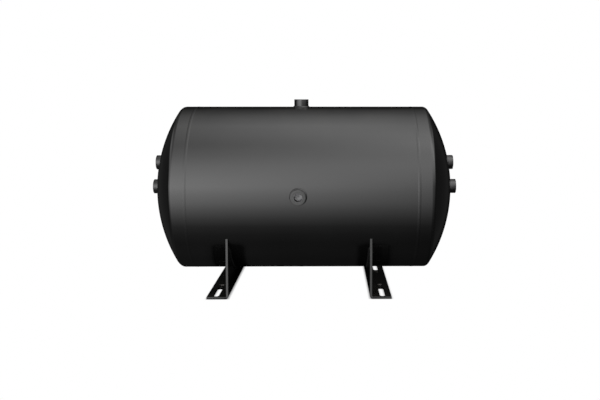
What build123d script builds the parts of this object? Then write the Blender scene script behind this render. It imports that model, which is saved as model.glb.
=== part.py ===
from build123d import *
import os
from math import asin, degrees, sqrt

# Compressed-air receiver tank: a rolled shell between two torispherical heads,
# threaded bosses welded into shell and heads, and two bent feet welded below.
# The frame: origin on the floor, in the middle of the feet's four round holes,
# +X along the tank, -Y towards the side with the front port, +Z up.

# ---------------------------------------------------------------- dimensions, mm
# Vessel
vessel_diameter = 396.0
shell_wall = 3.0
head_wall = 3.0
tangent_length = 581.0          # between the tangent lines of the two heads
crown_radius = 346.5
knuckle_radius = 12.0
skirt_length = 25.0             # straight part of a head, from its tangent line to its weld
floor_clearance = 40.5          # between the floor and the shell's lowest line
body_offset = 8.5               # middle of the vessel, along X from the middle of the feet

# Joint between shell and head: the head's lip is stepped inwards and slides into the shell
head_weld_width = 7.0
head_weld_crown = 0.5
lip_length = 12.0               # lip inside the shell, past the weld
lip_clearance = 0.1
step_run = 6.0                  # length over which the head's inside steps down to the lip

# Long seam, where the rolled sheet closes
seam_angle = 25.0               # above the horizontal, at the back
seam_gap = 2.5
seam_bead_width = 8.0
seam_bead_crown = 0.8

# Threaded bosses, M22 x 1.5
boss_diameter = 35.0
boss_hole_clearance = 0.15      # radial, between a boss and the hole it is welded into
boss_inside = 5.0               # how far a boss reaches inside the wall
boss_edge_chamfer = 0.8
thread_core_diameter = 20.376
mouth_diameter = 23.0
shell_port_projection = 18.0
lower_port_projection = 16.0    # port on the tank axis, measured from the dome's top
upper_port_projection = 13.5
upper_port_height = 60.0        # above the tank axis
port_weld_leg = 2.5
port_weld_land = 0.4

# Drain at the bottom: a boss almost flush with the shell, with a collared plug
drain_projection = 1.6
drain_weld_leg = 1.1
drain_edge_chamfer = 0.4
drain_thread_length = 13.0
drain_recess_clearance = 0.5
plug_collar_diameter = 27.0
plug_collar_thickness = 5.0
plug_collar_recess = 0.3        # collar's face below the boss's face
plug_shank_length = 12.0
plug_thread_clearance = 0.1
plug_edge_chamfer = 0.6
hex_across_flats = 12.0
hex_depth = 7.0
seal_thickness = 1.5
seal_outer_diameter = 26.6
seal_inner_diameter = 22.2

# Push-in plug of the front port, a cup with a thin lip that sits in the port's mouth
cup_clearance = 0.1
cup_wall = 1.2
cup_floor = 1.6
cup_depth = 20.0                # from the port's face to the cup's floor
cup_lip_thickness = 0.9

# Feet: plates bent to an L
foot_length = 344.0
foot_thickness = 5.0
foot_leg = 50.0                 # flange, from the web's inner face to its edge
foot_bend_inside = 2.0
foot_spacing = 323.0            # between the inner faces of the two webs
foot_fit_gap = 0.2              # between a web's top edge and the shell
foot_tip_trim = 1.5             # height cut off the web's sharp upper corners
foot_weld_leg = 4.0
foot_weld_land = 0.4
foot_weld_stop = 8.0            # weld ends this far from the web's ends

# Fixing holes in the flanges
hole_gauge = 30.0               # from the web's inner face to the holes' centres
slot_length = 80.0
slot_width = 13.0
slot_spacing = 250.0            # between the slots' centres, along Y
round_hole_diameter = 11.0
round_hole_spacing = 130.0      # between the round holes' centres, along Y

# ---------------------------------------------------------------- derived sizes
vessel_radius = vessel_diameter / 2
axis_height = vessel_radius + floor_clearance
boss_radius = boss_diameter / 2
core_radius = thread_core_diameter / 2
mouth_radius = mouth_diameter / 2
mouth_depth = mouth_radius - core_radius

tangent_x = tangent_length / 2
weld_outer_x = tangent_x - skirt_length
weld_inner_x = weld_outer_x - head_weld_width
lip_radius = vessel_radius - shell_wall - lip_clearance
lip_end_x = weld_inner_x - lip_length

knuckle_centre_radius = vessel_radius - knuckle_radius
crown_to_knuckle = crown_radius - knuckle_radius
crown_centre_x = tangent_x - sqrt(crown_to_knuckle**2 - knuckle_centre_radius**2)
crown_half_angle = degrees(asin(knuckle_centre_radius / crown_to_knuckle))
dome_top_x = crown_centre_x + crown_radius

foot_inner_x = foot_spacing / 2
foot_web_outer_x = foot_inner_x + foot_thickness
hole_x = foot_inner_x + hole_gauge
foot_top = axis_height - sqrt(vessel_radius**2 - (foot_length / 2) ** 2) - foot_tip_trim

cutter = 4 * vessel_diameter    # length of a tool that passes right through the tank

vessel_place = Pos(body_offset, 0, axis_height)
on_top = (Align.CENTER, Align.CENTER, Align.MIN)
below = (Align.CENTER, Align.CENTER, Align.MAX)


def dome_height(distance, wall=0.0):
    """X of the dome's surface, or its inside, at a distance from the tank axis."""
    return crown_centre_x + sqrt((crown_radius - wall) ** 2 - distance**2)


def vessel_envelope():
    """The cylinder of the shell's outside, endless at both ends."""
    return vessel_place * Rot(0, 90, 0) * Cylinder(vessel_radius, cutter)


# ---------------------------------------------------------------- ports
def shell_port_place(turn, projection):
    """Where a boss's face sits on the shell: turn 0 is the top, 90 the front, 180 the bottom."""
    return Pos(0, 0, axis_height) * Rot(turn, 0, 0) * Pos(0, 0, vessel_radius + projection)


def head_port_place(side, height, projection):
    """Where a boss's face sits on a head: side 1 is the right head, -1 the left."""
    face_x = body_offset + side * (dome_height(height) + projection)
    return Pos(face_x, 0, axis_height + height) * Rot(0, 90 * side, 0)


def shell_boss_length(projection):
    return projection + shell_wall + boss_inside


def head_boss_length(height, projection):
    """Long enough to reach inside the wall on the side where the dome lies deepest."""
    deepest = dome_height(height + boss_radius, head_wall)
    return dome_height(height) + projection - deepest + boss_inside


shell_ports = {
    "top_port": 0,
    "front_port": 90,
}
head_ports = {
    "left_lower_port": (-1, 0.0, lower_port_projection),
    "left_upper_port": (-1, upper_port_height, upper_port_projection),
    "right_lower_port": (1, 0.0, lower_port_projection),
    "right_upper_port": (1, upper_port_height, upper_port_projection),
}
drain_turn = 180
drain_recess_depth = plug_collar_recess + plug_collar_thickness + seal_thickness
drain_boss_length = drain_recess_depth + drain_thread_length


def boss_cylinder(radius, length):
    """Plain cylinder below z = 0, for a boss or the hole it goes through."""
    return Cylinder(radius, length, align=below)


def mouth_cone():
    """The chamfer at the mouth of a threaded bore, from z = 0 down."""
    return Cone(core_radius, mouth_radius, mouth_depth, align=below)


def boss(length):
    """Threaded boss, face at z = 0, with a plain bore at the thread's core diameter."""
    body = boss_cylinder(boss_radius, length)
    body = chamfer(body.edges().sort_by(Axis.Z)[-1], boss_edge_chamfer)
    return body - boss_cylinder(core_radius, length) - mouth_cone()


def drain_boss():
    """Boss with a recess that takes the plug's collar and its seal."""
    body = boss_cylinder(boss_radius, drain_boss_length)
    body = chamfer(body.edges().sort_by(Axis.Z)[-1], drain_edge_chamfer)
    recess = boss_cylinder(plug_collar_diameter / 2 + drain_recess_clearance, drain_recess_depth)
    return body - recess - boss_cylinder(core_radius, drain_boss_length)


def fillet_ring(leg=port_weld_leg):
    """Blank of a weld round a boss: a low cone standing on the host's surface at z = 0."""
    reach = boss_radius + leg
    drop = vessel_radius - sqrt(vessel_radius**2 - reach**2)
    top = boss_radius + port_weld_land
    return Pos(0, 0, -drop) * Cone(top + leg + drop, top, leg + drop, align=on_top)


def shell_port_weld(turn, projection, leg=port_weld_leg):
    place = shell_port_place(turn, projection)
    ring = shell_port_place(turn, 0) * fillet_ring(leg)
    return ring - place * boss_cylinder(boss_radius, shell_boss_length(projection)) - vessel_envelope()


def head_port_weld(side, height, projection):
    """The ring stands square to the dome, while the boss runs along X."""
    place = head_port_place(side, height, projection)
    lean = degrees(asin(height / crown_radius))
    ring = head_port_place(side, height, 0) * Rot(0, -side * lean, 0) * fillet_ring()
    crown = vessel_place * Pos(side * crown_centre_x, 0, 0) * Sphere(crown_radius)
    return ring - place * boss_cylinder(boss_radius, head_boss_length(height, projection)) - crown


# ---------------------------------------------------------------- vessel
def boss_hole(length):
    return boss_cylinder(boss_radius + boss_hole_clearance, length)


def seam_place():
    """Middle of the shell, turned so that +Z points at the long seam."""
    return vessel_place * Rot(seam_angle - 90, 0, 0)


def shell():
    """Rolled sheet, open along the seam, with a hole for each boss."""
    tube = Cylinder(vessel_radius, 2 * weld_inner_x) - Cylinder(vessel_radius - shell_wall, cutter)
    sheet = vessel_place * Rot(0, 90, 0) * tube
    sheet -= seam_place() * Box(cutter, seam_gap, vessel_diameter, align=on_top)
    for turn in shell_ports.values():
        place = shell_port_place(turn, shell_port_projection)
        sheet -= place * boss_hole(shell_boss_length(shell_port_projection))
    sheet -= shell_port_place(drain_turn, drain_projection) * boss_hole(drain_boss_length)
    return sheet


def shell_seam_weld():
    """Butt weld that fills the gap and stands slightly proud, with a flush root."""
    half = seam_bead_width / 2
    edge = sqrt(vessel_radius**2 - half**2)
    crown = ThreePointArc((-half, edge), (0, vessel_radius + seam_bead_crown), (half, edge))
    cap = make_face([crown, Line((half, edge), (-half, edge))])
    bead = Plane.YZ * extrude(cap, weld_inner_x, both=True)
    bead -= Rot(0, 90, 0) * Cylinder(vessel_radius, cutter)
    root = sqrt((vessel_radius - shell_wall) ** 2 - (seam_gap / 2) ** 2)
    fill_height = vessel_radius + seam_bead_crown / 2 - root
    fill = Pos(0, 0, root) * Box(2 * weld_inner_x, seam_gap, fill_height, align=on_top)
    return seam_place() * (bead + fill)


def dome_arcs(wall):
    """Crown arc and knuckle arc of the half section, moved inwards by the wall."""
    centre = (crown_centre_x, 0)
    crown = CenterArc(centre, crown_radius - wall, 0, crown_half_angle)
    knuckle_centre = (tangent_x, knuckle_centre_radius)
    turn = 90 - crown_half_angle
    knuckle = CenterArc(knuckle_centre, knuckle_radius - wall, crown_half_angle, turn)
    return crown, knuckle


def head():
    """Right head: crown, knuckle, skirt, and the stepped lip that slides into the shell."""
    outside = dome_arcs(0)
    inside = dome_arcs(head_wall)
    skirt_inside = vessel_radius - head_wall
    lip_inside = lip_radius - head_wall
    edge = Polyline(
        (tangent_x, vessel_radius),
        (weld_outer_x, vessel_radius),
        (weld_outer_x, lip_radius),
        (lip_end_x, lip_radius),
        (lip_end_x, lip_inside),
        (weld_outer_x, lip_inside),
        (weld_outer_x + step_run, skirt_inside),
        (tangent_x, skirt_inside),
    )
    axis_line = Line((dome_top_x - head_wall, 0), (dome_top_x, 0))
    section = make_face([*outside, *edge.edges(), *inside, axis_line])
    return revolve(section, Axis.X)


def bored_head(side):
    blank = head()
    if side < 0:
        blank = mirror(blank, about=Plane.YZ)
    blank = vessel_place * blank
    for port_side, height, projection in head_ports.values():
        if port_side == side:
            place = head_port_place(side, height, projection)
            blank -= place * boss_hole(head_boss_length(height, projection))
    return blank


def head_weld(side):
    """Ring that fills the groove between shell and head, on top of the lip."""
    middle = (weld_inner_x + weld_outer_x) / 2
    crown = ThreePointArc(
        (weld_inner_x, vessel_radius),
        (middle, vessel_radius + head_weld_crown),
        (weld_outer_x, vessel_radius),
    )
    groove = Polyline(
        (weld_outer_x, vessel_radius),
        (weld_outer_x, lip_radius),
        (weld_inner_x, lip_radius),
        (weld_inner_x, vessel_radius),
    )
    ring = revolve(make_face([crown, *groove.edges()]), Axis.X)
    if side < 0:
        ring = mirror(ring, about=Plane.YZ)
    return vessel_place * ring


# ---------------------------------------------------------------- plugs and seal
def port_plug():
    """Thin cup with a lip in the mouth's chamfer, drawn with the port's face at z = 0."""
    outside = core_radius - cup_clearance
    lip_outside = mouth_radius - cup_clearance
    lip_drop = lip_outside - outside
    bottom = -cup_depth - cup_floor
    section = Polyline(
        (0, bottom),
        (outside, bottom),
        (outside, -lip_drop),
        (lip_outside, 0),
        (lip_outside, cup_lip_thickness),
        (outside - cup_wall, cup_lip_thickness),
        (outside - cup_wall, -cup_depth),
        (0, -cup_depth),
        close=True,
    )
    cup = revolve(Plane.XZ * make_face(section), Axis.Z)
    return shell_port_place(shell_ports["front_port"], shell_port_projection) * cup


def drain_plug():
    """Collared screw plug with a hexagon socket, its collar just inside the boss's face."""
    collar = Cylinder(plug_collar_diameter / 2, plug_collar_thickness, align=below)
    collar = chamfer(collar.edges().sort_by(Axis.Z)[-1], plug_edge_chamfer)
    shank_length = seal_thickness + plug_shank_length
    shank = Cylinder(core_radius - plug_thread_clearance, shank_length, align=below)
    shank = chamfer(shank.edges().sort_by(Axis.Z)[0], plug_edge_chamfer)
    socket = extrude(RegularPolygon(hex_across_flats / 2, 6, major_radius=False), -hex_depth)
    plug = collar + Pos(0, 0, -plug_collar_thickness) * shank - socket
    return shell_port_place(drain_turn, drain_projection - plug_collar_recess) * plug


def drain_seal():
    """Flat ring between the plug's collar and the floor of the boss's recess."""
    ring = Cylinder(seal_outer_diameter / 2, seal_thickness, align=on_top)
    ring -= Cylinder(seal_inner_diameter / 2, seal_thickness, align=on_top)
    return shell_port_place(drain_turn, drain_projection - drain_recess_depth) * ring


# ---------------------------------------------------------------- feet
def foot():
    """Right foot: a bent plate whose web is cut to the shell's curve."""
    edge_x = foot_inner_x + foot_leg
    section = Polyline(
        (foot_inner_x, foot_top),
        (foot_inner_x, 0),
        (edge_x, 0),
        (edge_x, foot_thickness),
        (foot_web_outer_x, foot_thickness),
        (foot_web_outer_x, foot_top),
        close=True,
    )
    face = make_face(section)
    heel = face.vertices().sort_by_distance((foot_inner_x, 0))[0]
    face = fillet(heel, foot_bend_inside + foot_thickness)
    throat = face.vertices().sort_by_distance((foot_web_outer_x, foot_thickness))[0]
    face = fillet(throat, foot_bend_inside)
    plate = extrude(Plane.XZ * face, foot_length / 2, both=True)
    saddle = Pos(0, 0, axis_height) * Rot(0, 90, 0) * Cylinder(vessel_radius + foot_fit_gap, cutter)
    plate -= saddle
    slot = extrude(Rot(0, 0, 90) * SlotOverall(slot_length, slot_width), foot_thickness)
    hole = Cylinder(round_hole_diameter / 2, foot_thickness, align=on_top)
    for way in (-1, 1):
        plate -= Pos(hole_x, way * slot_spacing / 2, 0) * slot
        plate -= Pos(hole_x, way * round_hole_spacing / 2, 0) * hole
    return plate


def foot_weld(face_x, way):
    """Fillet weld along the web's top edge, on the face at face_x, growing along way."""
    land_x = face_x + way * foot_weld_land
    toe_x = face_x + way * foot_weld_leg
    section = Polyline(
        (face_x, vessel_radius),
        (toe_x, vessel_radius),
        (toe_x, vessel_radius + foot_weld_land),
        (land_x, vessel_radius + foot_weld_leg),
        (face_x, vessel_radius + foot_weld_leg),
        close=True,
    )
    reach = foot_length / 2 - foot_weld_stop
    half_angle = degrees(asin(reach / (vessel_radius + foot_weld_leg)))
    bead = revolve(make_face(section), Axis.X, revolution_arc=2 * half_angle)
    return Pos(0, 0, axis_height) * Rot(-90 - half_angle, 0, 0) * bead


# ---------------------------------------------------------------- assembly
def build_nodes():
    nodes = {
        "shell": shell(),
        "shell_seam_weld": shell_seam_weld(),
        "head_left": bored_head(-1),
        "head_right": bored_head(1),
        "head_weld_left": head_weld(-1),
        "head_weld_right": head_weld(1),
        "front_port_plug": port_plug(),
        "drain_boss": shell_port_place(drain_turn, drain_projection) * drain_boss(),
        "drain_boss_weld": shell_port_weld(drain_turn, drain_projection, drain_weld_leg),
        "drain_plug": drain_plug(),
        "drain_seal_ring": drain_seal(),
    }
    for name, turn in shell_ports.items():
        place = shell_port_place(turn, shell_port_projection)
        nodes[name + "_boss"] = place * boss(shell_boss_length(shell_port_projection))
        nodes[name + "_weld"] = shell_port_weld(turn, shell_port_projection)
    for name, (side, height, projection) in head_ports.items():
        place = head_port_place(side, height, projection)
        nodes[name + "_boss"] = place * boss(head_boss_length(height, projection))
        nodes[name + "_weld"] = head_port_weld(side, height, projection)

    right_foot = {
        "foot": foot(),
        "foot_weld_inner": foot_weld(foot_inner_x, -1),
        "foot_weld_outer": foot_weld(foot_web_outer_x, 1),
    }
    for name, piece in right_foot.items():
        nodes["right_" + name] = piece
        nodes["left_" + name] = mirror(piece, about=Plane.YZ)
    return nodes


os.makedirs("parts", exist_ok=True)
for node_name, node_solid in build_nodes().items():
    export_step(node_solid, "parts/" + node_name + ".step")
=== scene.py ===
from math import asin, cos, pi, radians, sin, sqrt

import bmesh
import bpy
from mathutils import Matrix, Vector


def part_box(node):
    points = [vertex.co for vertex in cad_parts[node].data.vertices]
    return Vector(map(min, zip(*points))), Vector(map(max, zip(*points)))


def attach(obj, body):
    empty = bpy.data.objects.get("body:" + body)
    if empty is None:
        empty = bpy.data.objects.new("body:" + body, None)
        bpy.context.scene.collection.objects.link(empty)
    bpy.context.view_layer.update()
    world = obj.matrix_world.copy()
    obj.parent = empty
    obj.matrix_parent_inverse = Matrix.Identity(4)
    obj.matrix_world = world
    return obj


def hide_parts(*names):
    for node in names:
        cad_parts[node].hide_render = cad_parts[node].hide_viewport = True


# Compressed-air receiver tank: black painted steel vessel with two dished ends, threaded
# bosses, a drain screw and two bent feet. Lengths are in metres, angles in radians.

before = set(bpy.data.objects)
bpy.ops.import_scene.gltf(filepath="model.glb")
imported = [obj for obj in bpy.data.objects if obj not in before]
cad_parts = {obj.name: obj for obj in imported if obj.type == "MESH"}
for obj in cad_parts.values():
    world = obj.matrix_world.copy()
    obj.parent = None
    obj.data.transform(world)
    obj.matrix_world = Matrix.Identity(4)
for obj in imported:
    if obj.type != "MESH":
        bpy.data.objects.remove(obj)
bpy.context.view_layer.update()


# ---------------------------------------------------------------- sizes from the frame
def span(node, axis):
    low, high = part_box(node)
    return high[axis] - low[axis]


def middle(node, axis):
    low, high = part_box(node)
    return (high[axis] + low[axis]) / 2


x_axis, y_axis, z_axis = range(3)
axis_height = middle("shell", z_axis)
vessel_middle = middle("shell", x_axis)
vessel_radius = span("shell", z_axis) / 2
shell_half = span("shell", x_axis) / 2
head_lip_end = vessel_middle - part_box("head_left")[1].x
dome_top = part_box("head_right")[1].x - vessel_middle
boss_radius = span("top_port_boss", x_axis) / 2

# ---------------------------------------------------------------- other sizes
wall = 0.003
crown_radius = 0.3465
knuckle_radius = 0.012
head_weld_width = 0.007
lip_radius = vessel_radius - wall - 0.0001
lip_step_run = 0.006
thread_pitch = 0.0015
thread_depth = 0.000812
core_radius = 0.010188
mouth_radius = 0.0115
hole_clearance = 0.00015
drain_weld_leg = 0.001
drain_corner_radius = 0.0004

knuckle_circle = vessel_radius - knuckle_radius
crown_centre = dome_top - crown_radius
crown_half_angle = asin(knuckle_circle / (crown_radius - knuckle_radius))
tangent = crown_centre + sqrt((crown_radius - knuckle_radius) ** 2 - knuckle_circle**2)
weld_inner = shell_half
weld_outer = shell_half + head_weld_width


# ---------------------------------------------------------------- a small node language
class Reading:
    """A number that changes over a mesh or a surface: a socket that can be reckoned with."""

    def __init__(self, tree, socket):
        self.tree = tree
        self.socket = socket

    def reckon(self, operation, *others):
        return reckon(self.tree, operation, self, *others)

    def __add__(self, other):
        return self.reckon("ADD", other)

    def __sub__(self, other):
        return self.reckon("SUBTRACT", other)

    def __rsub__(self, other):
        return reckon(self.tree, "SUBTRACT", other, self)

    def __mul__(self, other):
        return self.reckon("MULTIPLY", other)

    def __truediv__(self, other):
        return self.reckon("DIVIDE", other)

    def __pow__(self, other):
        return self.reckon("POWER", other)

    __radd__ = __add__
    __rmul__ = __mul__


def reckon(tree, operation, *values):
    """One step of arithmetic on readings and plain numbers."""
    node = tree.nodes.new("ShaderNodeMath")
    node.operation = operation
    for slot, value in enumerate(values):
        feed(tree, node.inputs[slot], value)
    return Reading(tree, node.outputs[0])


def sine(angle):
    return angle.reckon("SINE")


def cosine(angle):
    return angle.reckon("COSINE")


def root(value):
    return value.reckon("SQRT")


def stretched(value, low, high):
    """Low and below becomes 0, high and above becomes 1."""
    part = (value - low) / (high - low)
    return part.reckon("MAXIMUM", 0.0).reckon("MINIMUM", 1.0)


def feed(tree, socket, value):
    """Links a reading to a socket, or sets the socket's own value."""
    if isinstance(value, Reading):
        tree.links.new(value.socket, socket)
    else:
        socket.default_value = value


def node_of(tree, kind, **inputs):
    """New node, its inputs fed by name with underscores for spaces."""
    node = tree.nodes.new(kind)
    for name, value in inputs.items():
        feed(tree, node.inputs[name.replace("_", " ")], value)
    return node


class Rule:
    """A Geometry Nodes tree with named sizes, which lays sheets of quads by formula.

    Over a sheet, along and across run from 0 to 1. Turned sheets go round the Z axis.
    """

    def __init__(self, name, columns=96):
        self.tree = bpy.data.node_groups.new(name, "GeometryNodeTree")
        self.columns = columns
        self.sheets = []
        face = self.tree.interface
        face.new_socket("Finish", in_out="INPUT", socket_type="NodeSocketMaterial")
        face.new_socket("Geometry", in_out="OUTPUT", socket_type="NodeSocketGeometry")
        self.given = self.tree.nodes.new("NodeGroupInput")
        position = self.tree.nodes.new("GeometryNodeInputPosition")
        parts = self.tree.nodes.new("ShaderNodeSeparateXYZ")
        self.tree.links.new(position.outputs[0], parts.inputs[0])
        self.along = Reading(self.tree, parts.outputs["X"]) + 0.5
        self.across = Reading(self.tree, parts.outputs["Y"]) + 0.5
        self.turn_angle = self.along * (2 * pi)

    def size(self, name, value):
        socket = self.tree.interface.new_socket(name, in_out="INPUT", socket_type="NodeSocketFloat")
        socket.default_value = value
        return Reading(self.tree, self.given.outputs[name])

    def sheet(self, x, y, z, rows):
        tree = self.tree
        grid = node_of(tree, "GeometryNodeMeshGrid", Size_X=1.0, Size_Y=1.0)
        grid.inputs["Vertices X"].default_value = self.columns + 1
        grid.inputs["Vertices Y"].default_value = rows + 1
        place = node_of(tree, "ShaderNodeCombineXYZ", X=x, Y=y, Z=z)
        move = tree.nodes.new("GeometryNodeSetPosition")
        tree.links.new(grid.outputs["Mesh"], move.inputs["Geometry"])
        tree.links.new(place.outputs[0], move.inputs["Position"])
        self.sheets.append(move.outputs["Geometry"])

    def turned(self, height, reach, rows):
        self.sheet(reach * cosine(self.turn_angle), reach * sine(self.turn_angle), height, rows)

    def turned_line(self, start, end, rows=1):
        """Band between two (height, radius) points."""
        height = (end[0] - start[0]) * self.across + start[0]
        reach = (end[1] - start[1]) * self.across + start[1]
        self.turned(height, reach, rows)

    def turned_arc(self, centre, radius, start, end, rows):
        """Band along an arc about a (height, radius) point, between two angles from the axis."""
        angle = (end - start) * self.across + start
        self.turned(cosine(angle) * radius + centre[0], sine(angle) * radius + centre[1], rows)

    def turned_outline(self, points):
        for start, end in zip(points, points[1:]):
            self.turned_line(start, end)

    def close(self):
        """Joins the sheets where they meet, then gives the whole its finish."""
        tree = self.tree
        join = tree.nodes.new("GeometryNodeJoinGeometry")
        for sheet in self.sheets:
            tree.links.new(sheet, join.inputs[0])
        merge = node_of(tree, "GeometryNodeMergeByDistance", Distance=2e-6)
        smooth = tree.nodes.new("GeometryNodeSetShadeSmooth")
        realize = tree.nodes.new("GeometryNodeRealizeInstances")
        finish = tree.nodes.new("GeometryNodeSetMaterial")
        out = tree.nodes.new("NodeGroupOutput")
        steps = (join, merge, smooth, realize, finish, out)
        for before, after in zip(steps, steps[1:]):
            tree.links.new(before.outputs[0], after.inputs[0])
        tree.links.new(self.given.outputs["Finish"], finish.inputs["Material"])
        return self

    def cast(self, name, material, place=Matrix(), **sizes):
        """Makes a plain mesh piece from the rule, with some of its named sizes changed."""
        holder = bpy.data.objects.new(name + "_rule", bpy.data.meshes.new(name))
        bpy.context.scene.collection.objects.link(holder)
        modifier = holder.modifiers.new("rule", "NODES")
        modifier.node_group = self.tree
        wanted = {key.replace("_", " "): value for key, value in sizes.items()}
        wanted["Finish"] = material
        for item in self.tree.interface.items_tree:
            if item.in_out == "INPUT" and item.name in wanted:
                modifier[item.identifier] = wanted[item.name]
        mesh = final_mesh(holder)
        mesh.transform(place)
        return new_piece(name, mesh)


def final_mesh(holder):
    """Plain mesh of an object with its modifiers applied; the object itself is removed."""
    depsgraph = bpy.context.evaluated_depsgraph_get()
    mesh = bpy.data.meshes.new_from_object(holder.evaluated_get(depsgraph))
    bpy.data.objects.remove(holder)
    return mesh


def new_piece(name, mesh):
    """Object at the origin round a closed mesh, its faces turned outwards."""
    shape = bmesh.new()
    shape.from_mesh(mesh)
    if shape.calc_volume(signed=True) < 0:
        bmesh.ops.reverse_faces(shape, faces=shape.faces)
        shape.to_mesh(mesh)
    shape.free()
    mesh.set_sharp_from_angle(angle=radians(35))
    mesh.name = name
    piece = bpy.data.objects.new(name, mesh)
    bpy.context.scene.collection.objects.link(piece)
    return piece


def settle(piece, node, body="tank"):
    """The piece stands for a node, which is hidden, and moves with its body."""
    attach(piece, body)
    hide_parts(node)


# ---------------------------------------------------------------- places
def shell_place(turn):
    """Z points out of the shell at the tank's axis: turn 0 is the top, 90 degrees the front."""
    return Matrix.Translation((0, 0, axis_height)) @ Matrix.Rotation(turn, 4, "X")


def head_place(side, height=0.0):
    """Z points out of a head, from the vessel's middle: side 1 is the right, -1 the left."""
    spot = Matrix.Translation((vessel_middle, 0, axis_height + height))
    return spot @ Matrix.Rotation(side * pi / 2, 4, "Y")


shell_ports = {
    "top_port": (0.0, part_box("top_port_boss")[1].z - axis_height, span("top_port_boss", z_axis)),
    "front_port": (pi / 2, -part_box("front_port_boss")[0].y, span("front_port_boss", y_axis)),
}
drain_face = axis_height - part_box("drain_boss")[0].z


def head_port(side, name):
    """Side, height above the tank's axis, the face's distance from the middle, and length."""
    low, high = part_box(name + "_boss")
    face = max(abs(low.x - vessel_middle), abs(high.x - vessel_middle))
    return side, middle(name + "_boss", z_axis) - axis_height, face, high.x - low.x


head_ports = {
    "left_lower_port": head_port(-1, "left_lower_port"),
    "left_upper_port": head_port(-1, "left_upper_port"),
    "right_lower_port": head_port(1, "right_lower_port"),
    "right_upper_port": head_port(1, "right_upper_port"),
}


# ---------------------------------------------------------------- vessel
def drill(piece, drills):
    """Takes round holes out of a piece: each drill is a place whose Z is its axis, and a radius."""
    tool = bmesh.new()
    for place, radius in drills:
        bmesh.ops.create_cone(
            tool, cap_ends=True, segments=128, radius1=radius, radius2=radius,
            depth=2 * vessel_radius, matrix=place,
        )
    cut_with(piece, tool)


def cut_with(piece, tool):
    """Subtracts a bmesh tool from a piece and keeps the result as its plain mesh."""
    mesh = bpy.data.meshes.new("tool")
    tool.to_mesh(mesh)
    tool.free()
    cutter = bpy.data.objects.new("tool", mesh)
    bpy.context.scene.collection.objects.link(cutter)
    cut = piece.modifiers.new("cut", "BOOLEAN")
    cut.operation = "DIFFERENCE"
    cut.solver = "EXACT"
    cut.object = cutter
    depsgraph = bpy.context.evaluated_depsgraph_get()
    result = bpy.data.meshes.new_from_object(piece.evaluated_get(depsgraph))
    piece.modifiers.remove(cut)
    piece.data = result
    result.name = piece.name
    bpy.data.objects.remove(cutter)


def vessel_normal(point):
    """Exact outward normal of the vessel's skin at a point on it or just under it."""
    side = 1 if point.x > vessel_middle else -1
    height = abs(point.x - vessel_middle)
    across = Vector((0, point.y, point.z - axis_height))
    if height <= tangent:
        return across.normalized()
    from_crown = across + Vector((side * (height - crown_centre), 0, 0))
    if across.length < (height - crown_centre) * sin(crown_half_angle) / cos(crown_half_angle):
        return from_crown.normalized()
    ring = across.normalized() * knuckle_circle
    return (across - ring + Vector((side * (height - tangent), 0, 0))).normalized()


def polish(piece, closeness=0.985):
    """Corners on the vessel's skin get its exact normal, so that reflections run clean."""
    mesh = piece.data
    normals = []
    for face in mesh.polygons:
        for vertex in face.vertices:
            normal = vessel_normal(mesh.vertices[vertex].co)
            fit = normal.dot(face.normal)
            if fit > closeness:
                normals.append(normal)
            elif fit < -closeness:
                normals.append(-normal)
            else:
                normals.append(face.normal.copy())
        face.use_smooth = True
    mesh.normals_split_custom_set(normals)


def shell_rule():
    rule = Rule("Rolled shell", columns=288)
    outside = rule.size("Radius", 0.2)
    half = rule.size("Half Length", 0.3)
    inside = outside - rule.size("Wall", 0.003)
    lower = half * -1.0
    corners = [(lower, outside), (half, outside), (half, inside), (lower, inside)]
    rule.turned_outline(corners + corners[:1])
    return rule.close()


def make_shell(material):
    sizes = {"Radius": vessel_radius, "Half_Length": shell_half, "Wall": wall}
    piece = shell_rule().cast("shell_sheet", material, head_place(1), **sizes)
    drills = []
    for turn in (0.0, pi / 2, pi):
        place = shell_place(turn) @ Matrix.Translation((0, 0, vessel_radius))
        drills.append((place, boss_radius + hole_clearance))
    drill(piece, drills)
    polish(piece)
    settle(piece, "shell")


def head_rule():
    """Dished end: crown, knuckle and skirt outside, and the same inside, less the wall."""
    rule = Rule("Dished end", columns=288)
    radius = rule.size("Vessel Radius", 0.2)
    crown = rule.size("Crown Radius", 0.35)
    knuckle = rule.size("Knuckle Radius", 0.012)
    turn = rule.size("Crown Half Angle", 0.6)
    centre = rule.size("Crown Centre", 0.0)
    tangent_line = rule.size("Tangent Line", 0.29)
    skirt_end = rule.size("Skirt End", 0.265)
    lip_end = rule.size("Lip End", 0.245)
    lip = rule.size("Lip Radius", 0.195)
    step = rule.size("Step Run", 0.006)
    thick = rule.size("Wall", 0.003)
    quarter = pi / 2
    ring = (tangent_line, radius - knuckle)
    rule.turned_arc((centre, 0.0), crown, 0.0, turn, rows=48)
    rule.turned_arc(ring, knuckle, turn, quarter, rows=16)
    rule.turned_outline([
        (tangent_line, radius),
        (skirt_end, radius),
        (skirt_end, lip),
        (lip_end, lip),
        (lip_end, lip - thick),
        (skirt_end, lip - thick),
        (skirt_end + step, radius - thick),
        (tangent_line, radius - thick),
    ])
    rule.turned_arc(ring, knuckle - thick, quarter, turn, rows=16)
    rule.turned_arc((centre, 0.0), crown - thick, turn, 0.0, rows=48)
    return rule.close()


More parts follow.
